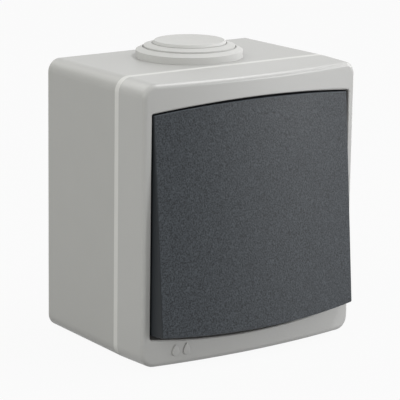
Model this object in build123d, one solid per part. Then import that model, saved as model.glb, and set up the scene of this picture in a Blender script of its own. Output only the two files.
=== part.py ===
from build123d import *
import os
from math import cos, hypot, radians, sin, sqrt, tan

# A surface-mounted weatherproof two-way light switch, in millimetres.
# Every piece is modelled on the bench: x to the right, y up the wall, z the depth from the wall to the front.
# TO_WALL then stands it up: +Z up, the front facing -Y, the origin at the middle of the back face.
TO_WALL = Rot(90, 0, 0)

# Box, gasket and cover
WIDTH = 70.0
HEIGHT = 75.8
CORNER_RADIUS = 3.9
INNER_CORNER = 0.4
BOX_DEPTH = 33.1
BOX_DRAFT = 0.64
BOX_WALL = 2.2
BOX_FLOOR = 2.4
GASKET_THICKNESS = 1.8
GASKET_LIP = 1.3
GASKET_LIP_REACH = 1.4
SEAL_CLEARANCE = 0.15
COVER_DEPTH = 14.05
COVER_SIDE_DRAFT = 2.8
COVER_END_DRAFT = 0.8
COVER_WALL = 2.2
FRONT_RADIUS = 193.0
FRONT_ROUNDING = 1.3

# Well in the cover that the rocker lies in
FRAME_SIDE = 2.78
FRAME_END = 5.85
ARCH_RISE = 2.0
WELL_DEPTH = 10.95
WELL_WALL = 1.8
WELL_CORNER = 0.5
WELL_EDGE = 0.25
BEZEL_THICKNESS = 2.4
DECK_THICKNESS = 1.8

# Rocker
ROCKER_TILT = 4.9
ROCKER_STAND_OUT = 2.25
ROCKER_DRAFT = 1.8
ROCKER_SIDE_GAP = 0.3
ROCKER_TOP_GAP = 1.05
ROCKER_BOTTOM_GAP = 1.7
ROCKER_FACE = 2.0
ROCKER_SKIRT = 1.8
ROCKER_CORNER = 0.4
ROCKER_EDGE = 0.35
ROCKER_RIB = 1.2
RIB_DEPTH = 3.0
RIB_SPREAD_X = 20.0
RIB_SPREAD_Y = 14.0
SKIRT_CLEARANCE = 1.2
STOP_GAP = 0.3
STOP_LENGTH = 8.0
STOP_WIDTH = 2.0
STOP_SPREAD = 14.0

# Pivot and drive lever
PIVOT_SETBACK = 6.2
PIN_RADIUS = 1.5
PIN_PUSH_FIT = 0.02
RUNNING_FIT = 0.05
EYE_WALL = 1.5
EAR_THICKNESS = 3.0
SIDE_PLAY = 0.4
HUB_WIDTH = 14.0
HEAD_RISE = 3.2
POST_RADIUS = 4.0
POST_END_CLEARANCE = 1.0

# Sprung plunger
PLUNGER_RADIUS = 2.5
PLUNGER_STROKE = 0.8
PLUNGER_POCKET = 7.0
TIP_GAP = 0.42
BORE_FLOOR = 1.0
SPRING_RADIUS = 1.35
SPRING_WIRE = 0.4
SPRING_TURNS = 6
SPRING_FIT = 0.1

# Membrane round the drive lever
DECK_HOLE_RADIUS = 6.0
MEMBRANE_THICKNESS = 1.0
MEMBRANE_COLLAR = 0.8
MEMBRANE_COLLAR_LENGTH = 3.0
RING_HOLE_RADIUS = 6.2
RING_RADIUS = 10.0
RING_THICKNESS = 1.8
COLLAR_WALL = 1.6

# Contact lever, a seesaw on the ridge of the common contact
LEVER_TILT = 2 * ROCKER_TILT
LEVER_LENGTH = 26.0
LEVER_WIDTH = 6.0
LEVER_FACE = 1.8
LEVER_THICKNESS = 1.2
HUB_RADIUS = 2.4
RIDGE_RADIUS = 0.8
RIDGE_CLEARANCE = 0.1
RIDGE_RISE = 3.4
TIP_RADIUS = 2.0
TIP_DROP = 0.6
TIP_DOME = 5.2
TIP_SETBACK = 2.0
CONTACT_GAP = 0.08
STRIP_WIDTH = 5.0
STRIP_THICKNESS = 0.8
STRIP_FIT = 0.2

# Terminals
TERMINAL_WIDTH = 8.0
TERMINAL_HEIGHT = 8.8
POCKET_CLEARANCE = 0.5
WIRE_RADIUS = 1.9
WIRE_RISE = 3.5
WIRE_GUIDE_RADIUS = 2.6
TERMINAL_SCREW_RADIUS = 1.7
TERMINAL_HEAD_RADIUS = 3.0
TERMINAL_HEAD_HEIGHT = 2.2
TERMINAL_SCREW_BITE = 1.0
TERMINAL_ACCESS_RADIUS = 3.5

# Insulating base and lid of the mechanism
BASE_STAND_OFF = 2.6
BASE_FLOOR = 2.0
BASE_WALL = 1.5
BASE_END_WALL = 3.4
BASE_CORNER = 2.0
CHAMBER_WIDTH = 13.0
CHAMBER_END = 2.5
PARTITION = 3.5
LID_CLEARANCE = 0.45
LID_THICKNESS = 1.8
LID_SLOT_CLEARANCE = 0.5

# Screws of the mechanism and of the cover
SCREW_RADIUS = 1.3
SCREW_FIT = 0.05
SCREW_PASS = 0.35
SCREW_HEAD_RADIUS = 2.9
SCREW_HEAD_HEIGHT = 2.0
SCREW_SLOT_WIDTH = 0.8
SCREW_SLOT_DEPTH = 1.0
MECHANISM_SCREW_SPREAD = 13.5
MECHANISM_BOSS_RADIUS = 4.0
MECHANISM_SCREW_END = 1.6
SCREW_END_SPACE = 0.4
COVER_SCREW_LENGTH = 17.0
COVER_SCREW_INSET_X = 8.0
COVER_SCREW_INSET_Y = 11.5
COVER_POST_RADIUS = 3.6
COVER_POST_DROP = 1.6
COVER_POST_RIB = 2.0
SLEEVE_WALL = 1.2
SLEEVE_FLOOR = 3.2
SCREW_SEAL_THICKNESS = 0.8
SCREW_SEAL_FIT = 0.15

# Cable grommet, its steps given by radius and height over the box
GROMMET_OFFSET = 0.25
GROMMET_RADIUS = 14.6
GROMMET_WALL_HEIGHT = 1.9
GROMMET_STEP_RADIUS = 12.5
GROMMET_STEP_HEIGHT = 3.1
GROMMET_STEP_DROP = 0.4
GROMMET_DISC_RADIUS = 10.0
GROMMET_DISC_HEIGHT = 3.85
GROMMET_DISC_DROP = 0.15
GROMMET_DISC_BEVEL = 0.45
GROMMET_TOP_HEIGHT = 4.5
GROMMET_DISH = 0.35
GROMMET_GROOVE = 0.3
GROMMET_GROOVE_DEPTH = 0.4
GROMMET_NECK_RADIUS = 11.2
GROMMET_NECK_FIT = 0.1
GROMMET_FLANGE = 1.4
GROMMET_FLANGE_DEPTH = 1.6
GROMMET_SKIN = 1.3

# Wall fixing slots and the knock-out under the box
WALL_SLOT_WIDTH = 4.5
WALL_SLOT_LENGTH = 8.5
WALL_SLOT_INSET = 10.4
WALL_SLOT_BOSS = 2.0
WALL_SLOT_RISE = 0.8
KNOCKOUT_RADIUS = 10.0
KNOCKOUT_GROOVE = 0.8
KNOCKOUT_DEPTH = 0.6

# Depths that follow from the sizes above
cover_rear = BOX_DEPTH + GASKET_THICKNESS
cover_front = cover_rear + COVER_DEPTH
deck_front = cover_front - WELL_DEPTH
deck_rear = deck_front - DECK_THICKNESS
rocker_front = cover_front + ROCKER_STAND_OUT
pivot_depth = rocker_front - PIVOT_SETBACK
base_rear = BOX_FLOOR + BASE_STAND_OFF
terminal_rear = base_rear + BASE_FLOOR
strip_rear = terminal_rear + TERMINAL_HEIGHT
strip_front = strip_rear + STRIP_THICKNESS
lever_depth = strip_front + RIDGE_RISE
post_top = BOX_DEPTH - COVER_POST_DROP
seal_seat = post_top + SLEEVE_FLOOR
screw_head_seat = seal_seat + SCREW_SEAL_THICKNESS
cover_screw_tip = screw_head_seat - COVER_SCREW_LENGTH

# Well and rocker outlines
well_half_width = WIDTH / 2 - FRAME_SIDE
well_half_height = HEIGHT / 2 - FRAME_END
rocker_half_width = well_half_width - ROCKER_SIDE_GAP

# The rocker's ends are round about the pivot, so that the gaps to the well stay the same as it rocks
rocker_top_radius = hypot(well_half_height - ROCKER_TOP_GAP, PIVOT_SETBACK)
rocker_bottom_radius = hypot(well_half_height - ROCKER_BOTTOM_GAP, PIVOT_SETBACK)

# Angles of rest: the rocker's top is pressed in, so its post swings down and tips the lever's lower arm back
rocker_angle = radians(ROCKER_TILT)
lever_angle = radians(LEVER_TILT)

# Rear edge of the rocker's skirt, measured from the pivot, so that the pressed-in end just clears the deck
skirt_travel = pivot_depth - deck_front - SKIRT_CLEARANCE
skirt_rear = (rocker_top_radius * sin(rocker_angle) - skirt_travel) / cos(rocker_angle)

# Ears, lugs and hub lie side by side along the pin
eye_radius = PIN_RADIUS + EYE_WALL
ear_inner = HUB_WIDTH / 2 + SIDE_PLAY
ear_middle = ear_inner + EAR_THICKNESS / 2
lug_middle = ear_inner + EAR_THICKNESS + SIDE_PLAY + EAR_THICKNESS / 2
pin_half_length = lug_middle + EAR_THICKNESS / 2 + SIDE_PLAY

# Where the closed contact lies, from the dome of the moving tip at the lever's angle of rest
contact_arm = LEVER_LENGTH / 2 - TIP_SETBACK
dome_centre = TIP_DOME - TIP_DROP
contact_y = contact_arm * cos(lever_angle) + dome_centre * sin(lever_angle)
dome_depth = lever_depth - contact_arm * sin(lever_angle) + dome_centre * cos(lever_angle)
fixed_tip_front = dome_depth - TIP_DOME - CONTACT_GAP

# Mechanism: the lid clears the lever's raised arm, and the terminals stand beside the chamber
lever_reach = LEVER_LENGTH / 2 * sin(lever_angle) + LEVER_FACE * cos(lever_angle)
lid_rear = lever_depth + lever_reach + LID_CLEARANCE
lid_front = lid_rear + LID_THICKNESS
pocket_width = TERMINAL_WIDTH + 2 * POCKET_CLEARANCE
terminal_x = CHAMBER_WIDTH / 2 + PARTITION + pocket_width / 2
base_half_width = terminal_x + pocket_width / 2 + BASE_WALL
base_half_height = contact_y + pocket_width / 2 + BASE_END_WALL
terminal_places = [(-terminal_x, contact_y), (-terminal_x, -contact_y), (terminal_x, 0)]
mechanism_screw_places = [
    (terminal_x, MECHANISM_SCREW_SPREAD),
    (terminal_x, -MECHANISM_SCREW_SPREAD),
    (-terminal_x, 0),
]

# Drive lever and plunger, as distances behind the pivot along the post
pivot_to_lever = pivot_depth - lever_depth
post_end = pivot_depth - lid_front - POST_END_CLEARANCE
touch = (pivot_to_lever * cos(lever_angle) - LEVER_FACE - PLUNGER_RADIUS) / cos(rocker_angle + lever_angle)
nose_centre = touch - TIP_GAP
bore_end = eye_radius + BORE_FLOOR
plunger_front = bore_end + PLUNGER_STROKE + SPRING_WIRE
pocket_floor = plunger_front + PLUNGER_POCKET

# Cover screws and wall slots
cover_screw_x = WIDTH / 2 - COVER_SCREW_INSET_X
cover_screw_y = HEIGHT / 2 - COVER_SCREW_INSET_Y
cover_screw_places = [
    (x, y)
    for x in (-cover_screw_x, cover_screw_x)
    for y in (-cover_screw_y, cover_screw_y)
]
sleeve_radius = SCREW_HEAD_RADIUS + SCREW_PASS + SLEEVE_WALL
wall_slot_y = HEIGHT / 2 - WALL_SLOT_INSET


def block(x_range, y_range, z_range):
    """A box given by its lowest and highest x, y and z."""
    size = [high - low for low, high in (x_range, y_range, z_range)]
    middle = [(high + low) / 2 for low, high in (x_range, y_range, z_range)]
    return Pos(*middle) * Box(*size)


def rod(radius, low, high, x=0.0, y=0.0):
    """A cylinder along the depth, between two depths."""
    return Pos(x, y, (low + high) / 2) * Cylinder(radius, high - low)


def cross_rod(radius, length, x=0.0, y=0.0, z=0.0):
    """A cylinder along x about its middle."""
    return Pos(x, y, z) * Rot(0, 90, 0) * Cylinder(radius, length)


def upright_rod(radius, length, x=0.0, y=0.0, z=0.0):
    """A cylinder along y about its middle."""
    return Pos(x, y, z) * Rot(90, 0, 0) * Cylinder(radius, length)


def bow_depth(half_width):
    """How far a bowed front falls back at a distance from its middle."""
    return FRONT_RADIUS - sqrt(FRONT_RADIUS**2 - half_width**2)


def bowed_block(half_width, rear, front, draft=0.0):
    """A block as high as the switch whose front bows out to FRONT_RADIUS and whose sides lean in."""
    half = half_width - (front - rear) * tan(radians(draft))
    edge = front - bow_depth(half)
    sides = Polyline((half, edge), (half_width, rear), (-half_width, rear), (-half, edge))
    bow = ThreePointArc((-half, edge), (0, front), (half, edge))
    return extrude(Plane.XZ * make_face(sides + bow), amount=HEIGHT / 2, both=True)


def arched_outline(half_width, half_height):
    """A rectangle whose top and bottom edges are arches that rise by ARCH_RISE."""
    corner = half_height - ARCH_RISE
    top = ThreePointArc((half_width, corner), (0, half_height), (-half_width, corner))
    left = Line((-half_width, corner), (-half_width, -corner))
    bottom = ThreePointArc((-half_width, -corner), (0, -half_height), (half_width, -corner))
    right = Line((half_width, -corner), (half_width, corner))
    return make_face(top + left + bottom + right)


def barrel(half_width, radius):
    """A barrel about the x axis whose outline rises by ARCH_RISE to its radius in the middle."""
    end = radius - ARCH_RISE
    arch = ThreePointArc((half_width, end), (0, radius), (-half_width, end))
    ends = Polyline((-half_width, end), (-half_width, 0), (half_width, 0), (half_width, end))
    return revolve(make_face(arch + ends), Axis.X)


def rocker_ends(inset):
    """What lies between the rocker's round ends, set in by a wall."""
    upper = block((-WIDTH, WIDTH), (0, HEIGHT), (-HEIGHT, HEIGHT))
    lower = block((-WIDTH, WIDTH), (-HEIGHT, 0), (-HEIGHT, HEIGHT))
    upper &= barrel(well_half_width, rocker_top_radius - inset)
    lower &= barrel(well_half_width, rocker_bottom_radius - inset)
    return upper + lower


def front_edges(solid, rear, front):
    """The edges round the front of a bowed solid."""
    return solid.edges().filter_by(Axis.Z, reverse=True).filter_by_position(Axis.Z, rear, front)


def eye(middle, thickness, root):
    """A plate across the pin with a round end about it, standing on the depth root."""
    low, high = sorted((0.0, root))
    plate = block(
        (middle - thickness / 2, middle + thickness / 2),
        (-eye_radius, eye_radius),
        (low, high),
    )
    return plate + cross_rod(eye_radius, thickness, x=middle)


def at_pivot(shape):
    """Puts a shape that was modelled about the pivot in the rocker's pose of rest."""
    return Pos(0, 0, pivot_depth) * Rot(-ROCKER_TILT, 0, 0) * shape


def at_ridge(shape):
    """Puts a shape that was modelled about the ridge in the contact lever's pose of rest."""
    return Pos(0, 0, lever_depth) * Rot(LEVER_TILT, 0, 0) * shape


def pan_screw(radius, head_radius, head_height, tip, seat):
    """A slotted pan-head screw along the depth, its head on the depth seat."""
    top = seat + head_height
    head = rod(head_radius, seat, top)
    head = chamfer(head.edges().group_by(Axis.Z)[-1], head_height / 4)
    slot = block(
        (-head_radius, head_radius),
        (-SCREW_SLOT_WIDTH / 2, SCREW_SLOT_WIDTH / 2),
        (top - SCREW_SLOT_DEPTH, top),
    )
    return rod(radius, tip, seat) + head - slot


def group(shape, places):
    """Separate copies of a shape at places given by x and y."""
    return Compound([Pos(x, y, 0) * shape for x, y in places])


def on_box_wall(shape, side):
    """Stands a shape that was modelled along z on the box's top wall, or the bottom one where side is -1."""
    depth = BOX_DEPTH / 2 + GROMMET_OFFSET
    reach = HEIGHT / 2 - (BOX_DEPTH - depth) * tan(radians(BOX_DRAFT))
    return Pos(0, side * reach, depth) * Rot(-side * (90 + BOX_DRAFT), 0, 0) * shape


def box_outline(inset):
    """The outline of the box at its rim, set in by a wall."""
    return RectangleRounded(WIDTH - 2 * inset, HEIGHT - 2 * inset, max(CORNER_RADIUS - inset, INNER_CORNER))


def make_back_box():
    rim = Pos(0, 0, BOX_DEPTH)
    shell = extrude(rim * box_outline(0), amount=BOX_DEPTH, dir=(0, 0, -1), taper=BOX_DRAFT)
    shell -= extrude(
        rim * box_outline(BOX_WALL), amount=BOX_DEPTH - BOX_FLOOR, dir=(0, 0, -1), taper=BOX_DRAFT
    )
    room = extrude(rim * box_outline(BOX_WALL / 2), amount=BOX_DEPTH, dir=(0, 0, -1), taper=BOX_DRAFT)
    for x, y in cover_screw_places:
        side = 1 if x > 0 else -1
        rib_x = sorted((x, side * WIDTH / 2))
        post = rod(COVER_POST_RADIUS, BOX_FLOOR / 2, post_top, x, y)
        rib_y = (y - COVER_POST_RIB / 2, y + COVER_POST_RIB / 2)
        rib = block(rib_x, rib_y, (BOX_FLOOR / 2, post_top - GASKET_LIP))
        shell += post + (rib & room)
        shell -= rod(SCREW_RADIUS + SCREW_FIT, cover_screw_tip - SCREW_END_SPACE, post_top, x, y)
    for x, y in mechanism_screw_places:
        shell += rod(MECHANISM_BOSS_RADIUS, BOX_FLOOR / 2, base_rear, x, y)
        shell -= rod(SCREW_RADIUS + SCREW_FIT, MECHANISM_SCREW_END - SCREW_END_SPACE, base_rear, x, y)
    straight = WALL_SLOT_LENGTH - WALL_SLOT_WIDTH
    for y in (-wall_slot_y, wall_slot_y):
        slot = Pos(0, y) * SlotCenterToCenter(straight, WALL_SLOT_WIDTH, rotation=90)
        boss = Pos(0, y) * SlotCenterToCenter(straight, WALL_SLOT_WIDTH + 2 * WALL_SLOT_BOSS, rotation=90)
        shell += Pos(0, 0, BOX_FLOOR / 2) * extrude(boss, amount=BOX_FLOOR / 2 + WALL_SLOT_RISE)
        shell -= extrude(slot, amount=BOX_FLOOR + WALL_SLOT_RISE)
    entry = Cylinder(GROMMET_NECK_RADIUS + GROMMET_NECK_FIT, 4 * BOX_WALL)
    shell -= on_box_wall(entry, 1)
    groove = Cylinder(KNOCKOUT_RADIUS, 2 * KNOCKOUT_DEPTH) - Cylinder(
        KNOCKOUT_RADIUS - KNOCKOUT_GROOVE, 2 * KNOCKOUT_DEPTH
    )
    return shell - on_box_wall(groove, -1)


def make_cable_grommet():
    inside = -BOX_WALL - GROMMET_NECK_FIT
    bottom = inside - GROMMET_FLANGE_DEPTH
    flange = GROMMET_NECK_RADIUS + GROMMET_FLANGE
    bore = GROMMET_NECK_RADIUS - GROMMET_SKIN
    disc_edge = GROMMET_DISC_RADIUS - GROMMET_DISC_BEVEL
    disc_ledge = GROMMET_DISC_HEIGHT - GROMMET_DISC_DROP
    step_ledge = GROMMET_STEP_HEIGHT - GROMMET_STEP_DROP
    disc_groove = disc_ledge - GROMMET_GROOVE_DEPTH
    step_groove = step_ledge - GROMMET_GROOVE_DEPTH
    ceiling = step_groove - GROMMET_SKIN / 2
    dish = ThreePointArc(
        (-disc_edge, GROMMET_TOP_HEIGHT),
        (0, GROMMET_TOP_HEIGHT - GROMMET_DISH),
        (disc_edge, GROMMET_TOP_HEIGHT),
    ).trim(0.5, 1)
    steps = Polyline(
        (disc_edge, GROMMET_TOP_HEIGHT),
        (GROMMET_DISC_RADIUS, GROMMET_DISC_HEIGHT),
        (GROMMET_DISC_RADIUS, disc_groove),
        (GROMMET_DISC_RADIUS + GROMMET_GROOVE, disc_groove),
        (GROMMET_DISC_RADIUS + GROMMET_GROOVE, disc_ledge),
        (GROMMET_STEP_RADIUS, GROMMET_STEP_HEIGHT),
        (GROMMET_STEP_RADIUS, step_groove),
        (GROMMET_STEP_RADIUS + GROMMET_GROOVE, step_groove),
        (GROMMET_STEP_RADIUS + GROMMET_GROOVE, step_ledge),
        (GROMMET_RADIUS, GROMMET_WALL_HEIGHT),
        (GROMMET_RADIUS, 0),
        (GROMMET_NECK_RADIUS, 0),
        (GROMMET_NECK_RADIUS, inside),
        (flange, inside),
        (GROMMET_NECK_RADIUS, bottom),
        (bore, bottom),
        (bore, ceiling),
        (0, ceiling),
        (0, GROMMET_TOP_HEIGHT - GROMMET_DISH),
    )
    profile = Plane.XZ * make_face(dish + steps)
    return on_box_wall(revolve(profile, Axis.Z), 1)


def make_cover_gasket():
    strip = extrude(
        Pos(0, 0, BOX_DEPTH) * (box_outline(0) - box_outline(BOX_WALL + GASKET_LIP)), amount=GASKET_THICKNESS
    )
    lip_inset = BOX_WALL + SEAL_CLEARANCE
    lip = extrude(
        Pos(0, 0, BOX_DEPTH - GASKET_LIP_REACH)
        * (box_outline(lip_inset) - box_outline(BOX_WALL + GASKET_LIP)),
        amount=GASKET_LIP_REACH,
    )
    return strip + lip


def make_front_cover():
    rear = Pos(0, 0, cover_rear)
    lean_x = COVER_DEPTH * tan(radians(COVER_SIDE_DRAFT))
    lean_y = COVER_DEPTH * tan(radians(COVER_END_DRAFT))
    front_outline = RectangleRounded(WIDTH - 2 * lean_x, HEIGHT - 2 * lean_y, CORNER_RADIUS - lean_y)
    shell = loft([rear * box_outline(0), Pos(0, 0, cover_front) * front_outline], ruled=True)
    shell &= bowed_block(WIDTH / 2, cover_rear, cover_front)
    edge_zone = cover_front - WELL_DEPTH / 2
    shell = fillet(front_edges(shell, edge_zone, cover_front), FRONT_ROUNDING)

    well = arched_outline(well_half_width, well_half_height)
    well_floor = Pos(0, 0, deck_front) * fillet(well.vertices(), WELL_CORNER)
    shell -= extrude(well_floor, amount=WELL_DEPTH)
    lip = [
        edge
        for edge in front_edges(shell, edge_zone, cover_front)
        if abs(edge.center().X) < well_half_width + WELL_EDGE
        and abs(edge.center().Y) < well_half_height + WELL_EDGE
    ]
    shell = chamfer(lip, WELL_EDGE)

    inner = rear * box_outline(COVER_WALL)
    shell -= extrude(inner, amount=deck_rear - cover_rear, taper=COVER_SIDE_DRAFT)
    ends = inner - rear * offset(well, WELL_WALL, kind=Kind.INTERSECTION)
    bezel_edge = cover_front - FRONT_RADIUS + sqrt(FRONT_RADIUS**2 - well_half_width**2)
    shell -= extrude(ends, amount=bezel_edge - BEZEL_THICKNESS - cover_rear)

    for x, y in cover_screw_places:
        shell += rod(sleeve_radius, post_top, deck_front, x, y)
        shell -= rod(SCREW_HEAD_RADIUS + SCREW_PASS, seal_seat, deck_front, x, y)
        shell -= rod(SCREW_RADIUS + SCREW_PASS, post_top, seal_seat, x, y)

    ring_top = deck_rear - MEMBRANE_THICKNESS
    collar = rod(RING_RADIUS + SCREW_FIT + COLLAR_WALL, ring_top - RING_THICKNESS, deck_rear)
    shell += collar - rod(RING_RADIUS + SCREW_FIT, ring_top - RING_THICKNESS, deck_rear)
    shell -= rod(DECK_HOLE_RADIUS, deck_rear, deck_front)

    ear_root = deck_front - DECK_THICKNESS / 2 - pivot_depth
    for middle in (-ear_middle, ear_middle):
        shell += Pos(0, 0, pivot_depth) * eye(middle, EAR_THICKNESS, ear_root)
    shell -= cross_rod(PIN_RADIUS + PIN_PUSH_FIT, 2 * pin_half_length, z=pivot_depth)

    top_stop = rocker_top_radius - ROCKER_SKIRT / 2
    bottom_stop = ROCKER_SKIRT / 2 - rocker_bottom_radius
    for x in (-STOP_SPREAD, STOP_SPREAD):
        for y in (bottom_stop, top_stop):
            shell += block(
                (x - STOP_LENGTH / 2, x + STOP_LENGTH / 2),
                (y - STOP_WIDTH / 2, y + STOP_WIDTH / 2),
                (deck_rear + DECK_THICKNESS / 2, deck_front + SKIRT_CLEARANCE - STOP_GAP),
            )
    return shell


def make_rocker():
    face = rocker_front - pivot_depth
    body = bowed_block(rocker_half_width, skirt_rear, face, ROCKER_DRAFT) & rocker_ends(0)
    corners = [edge for edge in body.edges() if edge.center().Z > skirt_rear and edge.length < 2 * face]
    body = fillet(corners, ROCKER_CORNER)
    body = fillet(front_edges(body, face - bow_depth(rocker_half_width), face), ROCKER_EDGE)
    room = bowed_block(rocker_half_width - ROCKER_SKIRT, skirt_rear, face - ROCKER_FACE, ROCKER_DRAFT)
    hollow = room & rocker_ends(ROCKER_SKIRT)

    inside = block((-HUB_WIDTH / 2, HUB_WIDTH / 2), (-POST_RADIUS, POST_RADIUS), (HEAD_RISE, face))
    for middle in (-lug_middle, lug_middle):
        inside += eye(middle, EAR_THICKNESS, face)
    rib_rear = face - ROCKER_FACE - RIB_DEPTH
    for x in (-RIB_SPREAD_X, RIB_SPREAD_X):
        inside += block((x - ROCKER_RIB / 2, x + ROCKER_RIB / 2), (-HEIGHT / 2, HEIGHT / 2), (rib_rear, face))
    for y in (-RIB_SPREAD_Y, RIB_SPREAD_Y):
        inside += block((-WIDTH / 2, WIDTH / 2), (y - ROCKER_RIB / 2, y + ROCKER_RIB / 2), (rib_rear, face))
    rocker = body - hollow + (inside & hollow)
    return at_pivot(rocker - cross_rod(PIN_RADIUS + RUNNING_FIT, WIDTH / 2))


def make_pivot_pin():
    pin = cross_rod(PIN_RADIUS, 2 * pin_half_length, z=pivot_depth)
    return chamfer(pin.edges().filter_by(GeomType.CIRCLE), PIN_RADIUS / 5)


def make_drive_lever():
    lever = cross_rod(eye_radius, HUB_WIDTH)
    lever += block((-HUB_WIDTH / 2, HUB_WIDTH / 2), (-eye_radius, eye_radius), (0, HEAD_RISE))
    lever += rod(POST_RADIUS, -post_end, 0)
    lever -= cross_rod(PIN_RADIUS + RUNNING_FIT, HUB_WIDTH)
    lever -= rod(PLUNGER_RADIUS + RUNNING_FIT, -post_end, -bore_end)
    return at_pivot(lever)


def make_plunger():
    nose = Pos(0, 0, -nose_centre) * Sphere(PLUNGER_RADIUS)
    body = rod(PLUNGER_RADIUS, -nose_centre, -plunger_front) + nose
    pocket = rod(SPRING_RADIUS + SPRING_WIRE / 2 + SPRING_FIT, -pocket_floor, -plunger_front)
    return at_pivot(body - pocket)


def make_plunger_spring():
    length = pocket_floor - bore_end - SPRING_WIRE - SPRING_FIT
    start = -pocket_floor + (SPRING_WIRE + SPRING_FIT) / 2
    path = Helix(length / SPRING_TURNS, length, SPRING_RADIUS, center=(0, 0, start))
    section = Plane(path @ 0, z_dir=path % 0) * Circle(SPRING_WIRE / 2)
    return at_pivot(sweep(section, path=path, is_frenet=True))


def make_sealing_membrane():
    flange_rear = deck_rear - MEMBRANE_THICKNESS
    flange = rod(RING_RADIUS, flange_rear, deck_rear)
    collar_rear = flange_rear - MEMBRANE_COLLAR_LENGTH / 2 - pivot_depth
    collar = rod(
        POST_RADIUS + RUNNING_FIT + MEMBRANE_COLLAR, collar_rear, collar_rear + MEMBRANE_COLLAR_LENGTH
    )
    bore = rod(POST_RADIUS + RUNNING_FIT, -post_end, 0)
    return flange + at_pivot(collar) - at_pivot(bore)


def make_membrane_ring():
    front = deck_rear - MEMBRANE_THICKNESS
    rear = front - RING_THICKNESS
    return rod(RING_RADIUS, rear, front) - rod(RING_HOLE_RADIUS, rear, front)


def make_contact_lever():
    half_width = LEVER_WIDTH / 2
    half_length = LEVER_LENGTH / 2
    plate = block(
        (-half_width, half_width),
        (-half_length, half_length),
        (LEVER_FACE - LEVER_THICKNESS, LEVER_FACE),
    )
    plate = fillet(plate.edges().filter_by(Axis.Z), half_width / 3)
    hub = cross_rod(HUB_RADIUS, LEVER_WIDTH) & block(
        (-half_width, half_width), (-HUB_RADIUS, HUB_RADIUS), (0, LEVER_FACE)
    )
    return at_ridge(plate + hub - cross_rod(RIDGE_RADIUS + RIDGE_CLEARANCE, LEVER_WIDTH))


def contact_button(height):
    """A contact button that stands along z on z = 0, its top domed."""
    dome = Pos(0, 0, height - TIP_DOME) * Sphere(TIP_DOME)
    return rod(TIP_RADIUS, 0, height) & dome


def make_moving_contact_tips():
    root = LEVER_FACE - LEVER_THICKNESS
    button = Pos(0, 0, root) * Rot(180, 0, 0) * contact_button(root + TIP_DROP)
    return Compound([at_ridge(Pos(0, y, 0) * button) for y in (-contact_arm, contact_arm)])


def make_fixed_contact_tips():
    button = Pos(0, 0, strip_front) * contact_button(fixed_tip_front - strip_front)
    return group(button, [(0, contact_y), (0, -contact_y)])


def contact_strip(side, y):
    """A flat strip from a terminal on one side to the middle of the chamber, its inner end round."""
    run = sorted((0.0, side * (terminal_x + TERMINAL_WIDTH / 2)))
    strip = block(run, (y - STRIP_WIDTH / 2, y + STRIP_WIDTH / 2), (strip_rear, strip_front))
    strip += rod(STRIP_WIDTH / 2, strip_rear, strip_front, 0, y)
    return strip - rod(TERMINAL_SCREW_RADIUS + SCREW_PASS, strip_rear, strip_front, side * terminal_x, y)


def make_common_contact():
    half_width = LEVER_WIDTH / 2
    ridge = block((-half_width, half_width), (-RIDGE_RADIUS, RIDGE_RADIUS), (strip_rear, lever_depth))
    ridge += cross_rod(RIDGE_RADIUS, LEVER_WIDTH, z=lever_depth)
    foot = block((-half_width, half_width), (-STRIP_WIDTH / 2, STRIP_WIDTH / 2), (strip_rear, strip_front))
    return contact_strip(1, 0) + foot + ridge


def make_terminal(place, wire_hole):
    x, y = place
    half = TERMINAL_WIDTH / 2
    clamp = block((x - half, x + half), (y - half, y + half), (terminal_rear, strip_rear))
    clamp -= rod(TERMINAL_SCREW_RADIUS + SCREW_FIT, terminal_rear + WIRE_RISE, strip_rear, x, y)
    return clamp - wire_hole(WIRE_RADIUS, TERMINAL_WIDTH, x, y, terminal_rear + WIRE_RISE)


def make_terminal_screws():
    tip = terminal_rear + WIRE_RISE + WIRE_RADIUS - TERMINAL_SCREW_BITE
    screw = pan_screw(TERMINAL_SCREW_RADIUS, TERMINAL_HEAD_RADIUS, TERMINAL_HEAD_HEIGHT, tip, strip_front)
    return group(screw, terminal_places)


def mechanism_outline():
    return RectangleRounded(2 * base_half_width, 2 * base_half_height, BASE_CORNER)


def make_mechanism_base():
    base = extrude(Pos(0, 0, base_rear) * mechanism_outline(), amount=lid_rear - base_rear)
    chamber_half = LEVER_LENGTH / 2 + CHAMBER_END
    base -= block(
        (-CHAMBER_WIDTH / 2, CHAMBER_WIDTH / 2), (-chamber_half, chamber_half), (strip_rear, lid_rear)
    )
    half = pocket_width / 2
    slot = STRIP_WIDTH / 2 + STRIP_FIT
    wire_depth = terminal_rear + WIRE_RISE
    for x, y in terminal_places:
        base -= block((x - half, x + half), (y - half, y + half), (terminal_rear, lid_rear))
        base -= block(sorted((0.0, x)), (y - slot, y + slot), (strip_rear, lid_rear))
        if y == 0:
            end = base_half_width
            guide = cross_rod(WIRE_GUIDE_RADIUS, end - x, (end + x) / 2, y, wire_depth)
        else:
            end = base_half_height if y > 0 else -base_half_height
            guide = upright_rod(WIRE_GUIDE_RADIUS, abs(end - y), x, (end + y) / 2, wire_depth)
        base -= guide
    for x, y in mechanism_screw_places:
        base -= rod(SCREW_RADIUS + SCREW_PASS, base_rear, lid_rear, x, y)
    return base


def make_mechanism_lid():
    lid = extrude(Pos(0, 0, lid_rear) * mechanism_outline(), amount=LID_THICKNESS)
    swing = pivot_to_lever * sin(rocker_angle)
    slot_width = 2 * (PLUNGER_RADIUS + LID_SLOT_CLEARANCE)
    slot = SlotCenterToCenter(2 * swing, slot_width, rotation=90)
    lid -= extrude(Pos(0, 0, lid_rear) * slot, amount=LID_THICKNESS)
    for x, y in terminal_places:
        lid -= rod(TERMINAL_ACCESS_RADIUS, lid_rear, lid_front, x, y)
    for x, y in mechanism_screw_places:
        lid -= rod(SCREW_RADIUS + SCREW_PASS, lid_rear, lid_front, x, y)
    return lid


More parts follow.
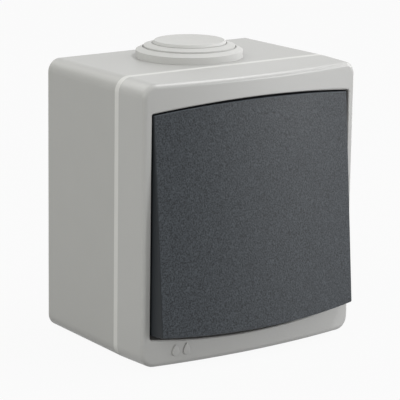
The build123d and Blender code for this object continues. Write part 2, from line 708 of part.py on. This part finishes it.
def make_mechanism_screws():
    screw = pan_screw(SCREW_RADIUS, SCREW_HEAD_RADIUS, SCREW_HEAD_HEIGHT, MECHANISM_SCREW_END, lid_front)
    return group(screw, mechanism_screw_places)


def make_cover_screws():
    screw = pan_screw(SCREW_RADIUS, SCREW_HEAD_RADIUS, SCREW_HEAD_HEIGHT, cover_screw_tip, screw_head_seat)
    return group(screw, cover_screw_places)


def make_screw_seals():
    washer = rod(SCREW_HEAD_RADIUS + SCREW_SEAL_FIT, seal_seat, screw_head_seat)
    washer -= rod(SCREW_RADIUS + SCREW_SEAL_FIT, seal_seat, screw_head_seat)
    return group(washer, cover_screw_places)


def main():
    first, second, common = terminal_places
    pieces = {
        "back_box": make_back_box(),
        "cable_grommet": make_cable_grommet(),
        "cover_gasket": make_cover_gasket(),
        "front_cover": make_front_cover(),
        "rocker": make_rocker(),
        "pivot_pin": make_pivot_pin(),
        "drive_lever": make_drive_lever(),
        "plunger": make_plunger(),
        "plunger_spring": make_plunger_spring(),
        "sealing_membrane": make_sealing_membrane(),
        "membrane_ring": make_membrane_ring(),
        "contact_lever": make_contact_lever(),
        "moving_contact_tips": make_moving_contact_tips(),
        "fixed_contact_one": contact_strip(-1, contact_y),
        "fixed_contact_two": contact_strip(-1, -contact_y),
        "fixed_contact_tips": make_fixed_contact_tips(),
        "common_contact": make_common_contact(),
        "first_terminal": make_terminal(first, upright_rod),
        "second_terminal": make_terminal(second, upright_rod),
        "common_terminal": make_terminal(common, cross_rod),
        "terminal_screws": make_terminal_screws(),
        "mechanism_base": make_mechanism_base(),
        "mechanism_lid": make_mechanism_lid(),
        "mechanism_screws": make_mechanism_screws(),
        "cover_screws": make_cover_screws(),
        "screw_seals": make_screw_seals(),
    }
    os.makedirs("parts", exist_ok=True)
    for name, piece in pieces.items():
        export_step(TO_WALL * piece, f"parts/{name}.step")


main()
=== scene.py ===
import math

import bmesh
import bpy
from mathutils import Matrix, Vector


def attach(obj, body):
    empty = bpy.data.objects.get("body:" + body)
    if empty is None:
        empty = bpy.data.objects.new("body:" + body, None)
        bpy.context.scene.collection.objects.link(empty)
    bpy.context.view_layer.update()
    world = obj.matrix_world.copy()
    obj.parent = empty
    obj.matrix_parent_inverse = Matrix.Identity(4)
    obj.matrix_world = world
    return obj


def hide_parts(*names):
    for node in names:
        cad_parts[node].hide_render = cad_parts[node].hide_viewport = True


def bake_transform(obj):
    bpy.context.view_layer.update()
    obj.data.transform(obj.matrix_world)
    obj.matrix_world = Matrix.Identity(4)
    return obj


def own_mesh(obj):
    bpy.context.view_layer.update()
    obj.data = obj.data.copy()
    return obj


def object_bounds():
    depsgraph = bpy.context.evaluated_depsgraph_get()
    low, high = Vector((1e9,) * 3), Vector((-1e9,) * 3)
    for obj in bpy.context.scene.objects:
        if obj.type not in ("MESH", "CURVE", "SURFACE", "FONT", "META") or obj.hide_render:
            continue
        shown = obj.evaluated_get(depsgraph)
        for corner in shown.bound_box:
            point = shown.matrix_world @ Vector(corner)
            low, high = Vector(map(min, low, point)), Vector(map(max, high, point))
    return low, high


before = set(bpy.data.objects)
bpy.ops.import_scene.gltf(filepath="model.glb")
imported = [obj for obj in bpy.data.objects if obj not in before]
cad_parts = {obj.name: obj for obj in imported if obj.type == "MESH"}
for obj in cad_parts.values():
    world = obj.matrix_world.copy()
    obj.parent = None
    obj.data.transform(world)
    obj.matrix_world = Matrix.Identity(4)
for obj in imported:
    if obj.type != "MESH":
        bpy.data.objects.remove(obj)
cad_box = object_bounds()

MM = 0.001

# The camera, as the photograph was taken: a long lens, from the left and a little above
CAMERA_AZIMUTH = -35.755
CAMERA_ELEVATION = 13.737
CAMERA_ROLL = 0.831
CAMERA_PLACE = (-349.05 * MM, -507.542 * MM, 144.642 * MM)
CAMERA_LENS = 201.918
SENSOR_WIDTH = 36.0

# The bowed front of the cover, measured from the wall
COVER_FRONT = 48.95 * MM
FRONT_RADIUS = 193.0 * MM

# How a pattern is squeezed along x, y and z
EVEN = (1.0, 1.0, 1.0)
DRAWN_ACROSS = (0.1, 1.0, 1.0)
UPRIGHT_GRAIN = (1.0, 1.0, 0.92)

# The colour sockets of a Mix node, by their places: two that go in and one that comes out
MIX_LOW = 6
MIX_HIGH = 7
MIX_RESULT = 2


class Shade:
    """A socket in a finish's node tree. Arithmetic on it adds Math nodes."""

    def __init__(self, finish, socket):
        self.finish = finish
        self.socket = socket

    def math(self, operation, *values):
        return self.finish.node("ShaderNodeMath", {"operation": operation}, dict(enumerate(values)))

    def __add__(self, other):
        return self.math("ADD", self, other)

    def __radd__(self, other):
        return self.math("ADD", other, self)

    def __sub__(self, other):
        return self.math("SUBTRACT", self, other)

    def __rsub__(self, other):
        return self.math("SUBTRACT", other, self)

    def __mul__(self, other):
        return self.math("MULTIPLY", self, other)

    def __rmul__(self, other):
        return self.math("MULTIPLY", other, self)


class NodeTree:
    """A tree of shader nodes."""

    def __init__(self, tree):
        self.tree = tree

    def node(self, kind, settings=None, sockets=None, output=0):
        """Adds a node: its settings first, then the values or links of its sockets."""
        made = self.tree.nodes.new(kind)
        for name, value in (settings or {}).items():
            setattr(made, name, value)
        for name, value in (sockets or {}).items():
            self.feed(made.inputs[name], value)
        return Shade(self, made.outputs[output])

    def feed(self, socket, value):
        if isinstance(value, Shade):
            self.tree.links.new(value.socket, socket)
        else:
            socket.default_value = value

    def seen_plainly(self):
        """One for a ray from the camera or one that gloss or glass sends on, nought for other light."""
        kinds = ("Is Camera Ray", "Is Glossy Ray", "Is Transmission Ray")
        camera, glossy, transmitted = (self.node("ShaderNodeLightPath", output=kind) for kind in kinds)
        return camera.math("MAXIMUM", camera, glossy.math("MAXIMUM", glossy, transmitted))


class Finish(NodeTree):
    """A material and its node tree."""

    def __init__(self, name):
        self.material = bpy.data.materials.new(name)
        self.material.use_nodes = True
        super().__init__(self.material.node_tree)
        self.shader = self.tree.nodes["Principled BSDF"]
        self.output = self.tree.nodes["Material Output"]

    def surface(self, sockets):
        """Sets or links the sockets of the shader."""
        for name, value in sockets.items():
            self.feed(self.shader.inputs[name], value)
        return self.material

    def place(self, stretch=EVEN):
        """Where a point is on the piece, in metres, squeezed along each axis by a factor."""
        point = self.node("ShaderNodeTexCoord", output="Object")
        if stretch == EVEN:
            return point
        return self.node("ShaderNodeMapping", None, {"Vector": point, "Scale": stretch})

    def noise(self, size, detail=2.0, roughness=0.5, distortion=0.0, stretch=EVEN):
        """Cloudy noise whose lumps are about size metres across."""
        sockets = {
            "Vector": self.place(stretch),
            "Scale": 1.0 / size,
            "Detail": detail,
            "Roughness": roughness,
            "Distortion": distortion,
        }
        return self.node("ShaderNodeTexNoise", None, sockets)

    def ramp(self, value, start, end):
        """Nought below start, one above end and even between, or the other way round where end is less."""
        return self.node("ShaderNodeMapRange", None, {"Value": value, "From Min": start, "From Max": end})

    def facing(self, axis):
        """How far a surface looks along an axis of the part, from minus one to one."""
        normal = self.node("ShaderNodeTexCoord", output="Normal")
        return self.node("ShaderNodeSeparateXYZ", None, {"Vector": normal}, axis)

    def tint(self, factor, low, high):
        """A colour between two others."""
        low, high = (colour if isinstance(colour, Shade) else (*colour, 1.0) for colour in (low, high))
        sockets = {"Factor": factor, MIX_LOW: low, MIX_HIGH: high}
        return self.node("ShaderNodeMix", {"data_type": "RGBA"}, sockets, MIX_RESULT)

    def bump(self, height, depth):
        """Fine relief, up to depth metres high."""
        return self.node("ShaderNodeBump", None, {"Height": height, "Distance": depth})


def shade_of(colour, level):
    """A colour made darker or lighter."""
    return tuple(channel * level for channel in colour)


def around(level, pattern, spread):
    """A level that a pattern takes down and up by half a spread."""
    return level + (pattern - 0.5) * spread


# The sizes of the patterns in the finishes
PLASTIC_CLOUD = 9 * MM
ROCKER_CLOUD = 14 * MM
ROCKER_GRAIN = 0.38 * MM
RUBBER_BLOOM = 5 * MM
RUBBER_PORE = 0.25 * MM
METAL_SCRATCH = 1.1 * MM
METAL_PATCH = 3 * MM

# The depths of their relief
ROCKER_GRAIN_DEPTH = 0.03 * MM
RUBBER_PORE_DEPTH = 0.006 * MM
METAL_SCRATCH_DEPTH = 0.004 * MM

# The rocker's skirts and face, by how far they look along y; the skirts are painted darker as shade
ROCKER_SKIRT = -0.80
ROCKER_FACE = -0.97

# Its sides and its ends, by the square of how far they look along z; the edges of the ends get a painted
# highlight
ROCKER_SIDE = 0.02
ROCKER_END = 0.10

# Where its grain is darkest and palest
FLECK_LOW = 0.30
FLECK_HIGH = 0.90


def moulded_plastic(name, colour, roughness, grain, grain_depth, specular=0.5):
    """Plain moulded plastic: slight clouding of the colour, a satin skin and a fine spark-eroded grain."""
    finish = Finish(name)
    cloud = finish.noise(PLASTIC_CLOUD, detail=3.0)
    speck = finish.noise(grain, detail=2.0, roughness=0.6)
    return finish.surface({
        "Base Color": finish.tint(cloud, shade_of(colour, 0.975), shade_of(colour, 1.02)),
        "Roughness": around(around(roughness, cloud, 0.04), speck, 0.03),
        "Specular IOR Level": specular,
        "Normal": finish.bump(speck, grain_depth),
    })


def grained_plastic(name, colour):
    """The rocker's dark plastic: grain on its face, smooth skirts in painted shade, a painted highlight on
    end edges.
    """
    finish = Finish(name)
    face = finish.ramp(finish.facing("Y"), ROCKER_SKIRT, ROCKER_FACE)
    upright = finish.facing("Z")
    ends = finish.ramp(upright * upright, ROCKER_SIDE, ROCKER_END)
    grain = finish.noise(ROCKER_GRAIN, detail=0.6, distortion=0.2, stretch=UPRIGHT_GRAIN)
    fleck = finish.ramp(grain, FLECK_LOW, FLECK_HIGH)
    cloud = finish.noise(ROCKER_CLOUD, detail=2.0)
    grained = finish.tint(fleck, shade_of(colour, 0.55), shade_of(colour, 1.95))
    # The skirts take a darker copy of the colour: painted shade where the side walls lie in shadow
    skin = finish.tint(face, shade_of(colour, 0.62), grained)
    # A painted highlight: a pale line where the face turns into the top and bottom skirts
    painted_edge_highlight = face * (1.0 - face) * 4.0 * ends
    return finish.surface({
        "Base Color": finish.tint(painted_edge_highlight, skin, shade_of(colour, 2.6)),
        "Roughness": around(0.42, cloud, 0.08),
        "Specular IOR Level": 0.16,
        "Normal": finish.bump(grain * face, ROCKER_GRAIN_DEPTH),
    })


def soft_rubber(name, colour):
    """Moulded rubber: matt, with a faint bloom."""
    finish = Finish(name)
    bloom = finish.noise(RUBBER_BLOOM, detail=4.0, roughness=0.6)
    pore = finish.noise(RUBBER_PORE, detail=1.0)
    return finish.surface({
        "Base Color": finish.tint(bloom, shade_of(colour, 0.96), shade_of(colour, 1.03)),
        "Roughness": around(0.62, bloom, 0.12),
        "Specular IOR Level": 0.2,
        "Normal": finish.bump(pore, RUBBER_PORE_DEPTH),
    })


def worked_metal(name, colour, roughness, stretch):
    """Drawn or pressed metal: scratches along one direction and patchy dulling."""
    finish = Finish(name)
    scratch = finish.noise(METAL_SCRATCH, detail=3.0, stretch=stretch)
    patch = finish.noise(METAL_PATCH, detail=3.0)
    return finish.surface({
        "Base Color": finish.tint(patch, shade_of(colour, 0.88), shade_of(colour, 1.04)),
        "Metallic": 1.0,
        "Roughness": around(around(roughness, scratch, 0.16), patch, 0.10),
        "Normal": finish.bump(scratch, METAL_SCRATCH_DEPTH),
    })


BOX_GREY = (0.391, 0.391, 0.382)
COVER_GREY = (0.374, 0.374, 0.366)
RUBBER_GREY = (0.57, 0.57, 0.557)
GROMMET_GREY = (0.475, 0.475, 0.466)
ROCKER_SLATE = (0.038, 0.0432, 0.0492)
NATURAL_WHITE = (0.72, 0.72, 0.69)
INSULATOR_CREAM = (0.64, 0.60, 0.51)
RUBBER_BLACK = (0.012, 0.012, 0.012)
ZINC = (0.56, 0.57, 0.58)
BRASS = (0.72, 0.50, 0.19)
SILVER = (0.80, 0.79, 0.76)


def dress_nodes():
    """Gives every CAD node its finish."""
    box = moulded_plastic(
        "box_plastic", BOX_GREY, roughness=0.36, grain=0.30 * MM, grain_depth=0.004 * MM, specular=0.16
    )
    cover = moulded_plastic(
        "cover_plastic", COVER_GREY, roughness=0.42, grain=0.30 * MM, grain_depth=0.0012 * MM, specular=0.8
    )
    natural = moulded_plastic(
        "natural_plastic", NATURAL_WHITE, roughness=0.35, grain=0.4 * MM, grain_depth=0.004 * MM
    )
    insulator = moulded_plastic(
        "insulator_plastic", INSULATOR_CREAM, roughness=0.45, grain=0.35 * MM, grain_depth=0.008 * MM
    )
    rocker = grained_plastic("rocker_plastic", ROCKER_SLATE)
    gasket = soft_rubber("gasket_rubber", RUBBER_GREY)
    grommet = soft_rubber("grommet_rubber", GROMMET_GREY)
    black_rubber = soft_rubber("black_rubber", RUBBER_BLACK)
    zinc = worked_metal("zinc_steel", ZINC, roughness=0.32, stretch=EVEN)
    brass = worked_metal("pressed_brass", BRASS, roughness=0.30, stretch=DRAWN_ACROSS)
    silver = worked_metal("contact_silver", SILVER, roughness=0.28, stretch=EVEN)
    finishes = {
        "back_box": box,
        "front_cover": cover,
        "cover_gasket": gasket,
        "cable_grommet": grommet,
        "rocker": rocker,
        "drive_lever": natural,
        "plunger": natural,
        "membrane_ring": natural,
        "mechanism_base": insulator,
        "mechanism_lid": insulator,
        "sealing_membrane": black_rubber,
        "screw_seals": black_rubber,
        "pivot_pin": zinc,
        "plunger_spring": zinc,
        "terminal_screws": zinc,
        "mechanism_screws": zinc,
        "cover_screws": zinc,
        "contact_lever": brass,
        "fixed_contact_one": brass,
        "fixed_contact_two": brass,
        "common_contact": brass,
        "first_terminal": brass,
        "second_terminal": brass,
        "common_terminal": brass,
        "moving_contact_tips": silver,
        "fixed_contact_tips": silver,
    }
    for node, finish in finishes.items():
        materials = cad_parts[node].data.materials
        materials.clear()
        materials.append(finish)
    return finishes


# The turn that faces a flat primitive to the front, and the sharpest edge that is shaded smooth
FACING_FRONT = (math.pi / 2, 0.0, 0.0)
SMOOTH_ANGLE = math.radians(40)

# Points closer than this are merged
WELD = 0.001 * MM


def select_only(piece):
    """Selects one piece and makes it the active one."""
    bpy.ops.object.select_all(action="DESELECT")
    bpy.context.view_layer.objects.active = piece
    piece.select_set(True)


def select_points(piece, test):
    """Selects the points in edit mode whose place passes a test."""
    bpy.ops.mesh.select_all(action="DESELECT")
    mesh = bmesh.from_edit_mesh(piece.data)
    for point in mesh.verts:
        point.select_set(test(point.co))
    mesh.select_flush_mode()
    bmesh.update_edit_mesh(piece.data)


# Two plain drops in low relief at the cover's lower left, the sign of a splash-proof housing
DROP_CORNERS = 48
DROP_RADIUS = 1.05 * MM
DROP_CROWN = 0.995 * DROP_RADIUS
DROP_TIP = 1.2 * MM
DROP_FALLOFF = 1.7
DROP_RELIEF = 0.3 * MM
DROP_SINK = 0.1 * MM
DROP_EDGE = 0.12 * MM
DROP_HEIGHT = -34.2 * MM
FIRST_DROP_ACROSS = -24.9 * MM
SECOND_DROP_ACROSS = -21.6 * MM


def model_drop(name):
    """A drop with its tip up and its back to the wall, at the origin."""
    bpy.ops.object.select_all(action="DESELECT")
    bpy.ops.mesh.primitive_circle_add(
        vertices=DROP_CORNERS, radius=DROP_RADIUS, fill_type="NGON", rotation=FACING_FRONT
    )
    drop = bpy.context.object
    drop.name = name
    bpy.ops.object.transform_apply(location=False, rotation=True, scale=False)
    bpy.ops.object.mode_set(mode="EDIT")
    select_points(drop, lambda place: place.z > DROP_CROWN)
    bpy.ops.transform.translate(
        value=(0.0, 0.0, DROP_TIP),
        use_proportional_edit=True,
        proportional_edit_falloff="SHARP",
        proportional_size=DROP_FALLOFF * DROP_RADIUS,
    )
    bpy.ops.mesh.select_all(action="SELECT")
    thickness = DROP_SINK + DROP_RELIEF
    bpy.ops.mesh.extrude_region_move(TRANSFORM_OT_translate={"value": (0.0, -thickness, 0.0)})
    select_points(drop, lambda place: place.y < -thickness / 2)
    bpy.ops.mesh.bevel(offset=DROP_EDGE, segments=3, affect="EDGES")
    bpy.ops.mesh.select_all(action="SELECT")
    bpy.ops.mesh.normals_make_consistent(inside=False)
    bpy.ops.object.mode_set(mode="OBJECT")
    bpy.ops.object.shade_smooth_by_angle(angle=SMOOTH_ANGLE)
    return drop


def copy_drop(drop, name):
    """Another drop, with a mesh of its own."""
    twin = bpy.data.objects.new(name, drop.data.copy())
    bpy.context.collection.objects.link(twin)
    return twin


def set_drop(drop, across, finish):
    """Sinks a drop's back in the cover's bowed front."""
    select_only(drop)
    bow = FRONT_RADIUS - math.sqrt(FRONT_RADIUS**2 - across**2)
    drop.location = (across, DROP_SINK + bow - COVER_FRONT, DROP_HEIGHT)
    drop.rotation_euler = (0.0, 0.0, math.asin(across / FRONT_RADIUS))
    bpy.ops.object.transform_apply(location=True, rotation=True, scale=False)
    drop.data.materials.append(finish)
    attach(drop, "housing")


def add_drops(finish):
    """Models one drop, copies it and sets both in their places."""
    first = model_drop("first_drop")
    second = copy_drop(first, "second_drop")
    set_drop(first, FIRST_DROP_ACROSS, finish)
    set_drop(second, SECOND_DROP_ACROSS, finish)


# The rocker turns on its pivot from a lean one way to the same lean the other way
PIVOT = Vector((0.0, -45.0 * MM, 0.0))
REST_LEAN = math.radians(-4.9)

# The rubber membrane's section, as radius and distance from the wall: a clamped rim, a folded skin
# and a collar
MEMBRANE_SECTION = (
    (9.9 * MM, 36.15 * MM),
    (5.9 * MM, 36.15 * MM),
    (5.45 * MM, 35.75 * MM),
    (5.4 * MM, 35.0 * MM),
    (4.7 * MM, 34.5 * MM),
    (4.06 * MM, 33.9 * MM),
    (4.06 * MM, 32.7 * MM),
    (4.6 * MM, 32.7 * MM),
    (4.6 * MM, 33.75 * MM),
    (5.0 * MM, 34.05 * MM),
    (5.35 * MM, 34.6 * MM),
    (5.95 * MM, 35.25 * MM),
    (9.9 * MM, 35.25 * MM),
)
MEMBRANE_CORNERS = 64

# Its skin bends between these distances from the wall
SKIN_START = 34.8 * MM
SKIN_END = 34.3 * MM


def lean_share(depth):
    """How far the membrane follows the rocker: nought at its rim, one at its collar."""
    share = min(max((SKIN_START - depth) / (SKIN_START - SKIN_END), 0.0), 1.0)
    return share * share * (3.0 - 2.0 * share)


def model_membrane(finish):
    """The rubber membrane that seals the drive lever's way in. Its collar is leant as far as the lever
    leans at rest.
    """
    bpy.ops.object.select_all(action="DESELECT")
    radius, depth = MEMBRANE_SECTION[0]
    bpy.ops.mesh.primitive_circle_add(
        vertices=MEMBRANE_CORNERS,
        radius=radius,
        fill_type="NOTHING",
        location=(0.0, -depth, 0.0),
        rotation=FACING_FRONT,
    )
    membrane = bpy.context.object
    membrane.name = "membrane_skin"
    bpy.ops.object.transform_apply(location=True, rotation=True, scale=False)
    bpy.ops.object.mode_set(mode="EDIT")
    bpy.ops.mesh.select_all(action="SELECT")
    for next_radius, next_depth in (*MEMBRANE_SECTION[1:], MEMBRANE_SECTION[0]):
        step = (0.0, depth - next_depth, 0.0)
        bpy.ops.mesh.extrude_region_move(TRANSFORM_OT_translate={"value": step})
        growth = next_radius / radius
        bpy.ops.transform.resize(value=(growth, 1.0, growth), center_override=(0.0, -next_depth, 0.0))
        radius, depth = next_radius, next_depth
    bpy.ops.mesh.select_all(action="SELECT")
    bpy.ops.mesh.remove_doubles(threshold=WELD)
    bpy.ops.mesh.normals_make_consistent(inside=False)
    mesh = bmesh.from_edit_mesh(membrane.data)
    for point in mesh.verts:
        turn = Matrix.Rotation(REST_LEAN * lean_share(-point.co.y), 3, "X")
        point.co = PIVOT + turn @ (point.co - PIVOT)
    bmesh.update_edit_mesh(membrane.data)
    bpy.ops.object.mode_set(mode="OBJECT")
    bpy.ops.object.shade_smooth_by_angle(angle=SMOOTH_ANGLE)
    membrane.data.materials.append(finish)
    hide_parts("sealing_membrane")
    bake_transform(membrane)


def model_spring(finish):
    """The plunger's coil spring: its CAD mesh copied, welded, shaded smooth and carried by the rocker."""
    coil = bpy.data.objects.new("spring_coil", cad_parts["plunger_spring"].data.copy())
    bpy.context.collection.objects.link(coil)
    select_only(coil)
    bpy.ops.object.mode_set(mode="EDIT")
    bpy.ops.mesh.select_all(action="SELECT")
    bpy.ops.mesh.remove_doubles(threshold=WELD)
    bpy.ops.object.mode_set(mode="OBJECT")
    bpy.ops.object.shade_smooth_by_angle(angle=SMOOTH_ANGLE)
    coil.data.materials.clear()
    coil.data.materials.append(finish)
    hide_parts("plunger_spring")
    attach(coil, "rocker")
    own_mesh(coil)


def place_camera():
    """The camera in the photograph's place, with the photograph's slight roll."""
    azimuth = math.radians(CAMERA_AZIMUTH)
    elevation = math.radians(CAMERA_ELEVATION)
    back = Vector((
        math.sin(azimuth) * math.cos(elevation),
        -math.cos(azimuth) * math.cos(elevation),
        math.sin(elevation),
    ))
    right = Vector((math.cos(azimuth), math.sin(azimuth), 0.0))
    up = back.cross(right)
    turn = Matrix((right, up, back)).transposed() @ Matrix.Rotation(math.radians(CAMERA_ROLL), 3, "Z")
    bpy.ops.object.camera_add(location=CAMERA_PLACE, rotation=turn.to_euler())
    camera = bpy.context.object
    camera.data.lens = CAMERA_LENS
    camera.data.sensor_width = SENSOR_WIDTH
    camera.data.dof.use_dof = False
    bpy.context.scene.camera = camera


WHITE = (1.0, 1.0, 1.0, 1.0)
WORLD_LEVEL = 0.3
FLOOR_SIZE = 6.0
FLOOR_ALBEDO = 0.28
FLOOR_ROUGHNESS = 0.9
FLOOR_WHITENESS = 0.94

# The lamps: where each stands, its size, its power and its colour. All face the middle of the part.
LAMPS = {
    "key_lamp": ((1.10, -0.25, 0.30), (0.6, 0.8), 6.9, (1.0, 1.0, 1.0)),
    "right_fill": ((0.75, -0.87, 0.08), (0.3, 0.2), 4.8, (1.0, 1.0, 1.0)),
    "left_fill": ((-0.75, -0.75, 0.40), (0.8, 0.8), 2.0, (1.0, 1.0, 0.96)),
    "side_fill": ((-1.05, -0.10, 0.35), (0.8, 0.8), 3.3, (1.0, 1.0, 0.94)),
    "edge_lamp": ((0.50, -0.28, 1.00), (0.95, 0.18), 7.6, (1.0, 1.0, 1.0)),
    "corner_lamp": ((-0.55, -0.12, 0.75), (0.45, 0.45), 2.1, (1.0, 1.0, 0.97)),
    "back_lamp": ((-0.30, 1.00, 0.75), (0.9, 0.6), 3.5, (1.0, 1.0, 0.97)),
}
LAMP_TARGET = (0.0, -25 * MM, 0.0)


def add_softbox(name, place, size, power, colour):
    """A large soft lamp at place that faces the part."""
    facing = (Vector(LAMP_TARGET) - Vector(place)).to_track_quat("-Z", "Y")
    bpy.ops.object.light_add(type="AREA", location=place, rotation=facing.to_euler())
    lamp = bpy.context.object
    lamp.name = name
    lamp.data.shape = "RECTANGLE"
    lamp.data.size, lamp.data.size_y = size
    lamp.data.energy = power
    lamp.data.color = colour


def light_studio():
    """White surroundings that show as white, dimmer as a source of light, and soft lamps."""
    world = bpy.data.worlds.new("studio")
    bpy.context.scene.world = world
    world.use_nodes = True
    studio = NodeTree(world.node_tree)
    background = world.node_tree.nodes["Background"]
    studio.feed(background.inputs["Color"], WHITE)
    level = studio.seen_plainly() * (1.0 - WORLD_LEVEL) + WORLD_LEVEL
    studio.feed(background.inputs["Strength"], level)
    for name, (place, size, power, colour) in LAMPS.items():
        add_softbox(name, place, size, power, colour)


def lay_floor():
    """A pale floor under the part, white to the camera, that takes a faint shadow."""
    low = cad_box[0]
    bpy.ops.mesh.primitive_plane_add(size=FLOOR_SIZE, location=(0.0, 0.0, low[2]))
    floor = bpy.context.object
    floor.name = "floor"
    finish = Finish("floor_white")
    pale = (FLOOR_ALBEDO, FLOOR_ALBEDO, FLOOR_ALBEDO, 1.0)
    finish.surface({"Base Color": pale, "Roughness": FLOOR_ROUGHNESS, "Specular IOR Level": 0.0})
    whiteness = finish.seen_plainly() * FLOOR_WHITENESS
    lit = Shade(finish, finish.shader.outputs[0])
    glow = finish.node("ShaderNodeEmission", None, {"Color": WHITE, "Strength": 1.0})
    mixed = finish.node("ShaderNodeMixShader", None, {0: whiteness, 1: lit, 2: glow})
    finish.feed(finish.output.inputs["Surface"], mixed)
    floor.data.materials.append(finish.material)


def main():
    bpy.context.scene.view_settings.view_transform = "Standard"
    bpy.ops.object.select_all(action="DESELECT")
    finishes = dress_nodes()
    add_drops(finishes["front_cover"])
    model_membrane(finishes["sealing_membrane"])
    model_spring(finishes["plunger_spring"])
    place_camera()
    light_studio()
    lay_floor()


main()
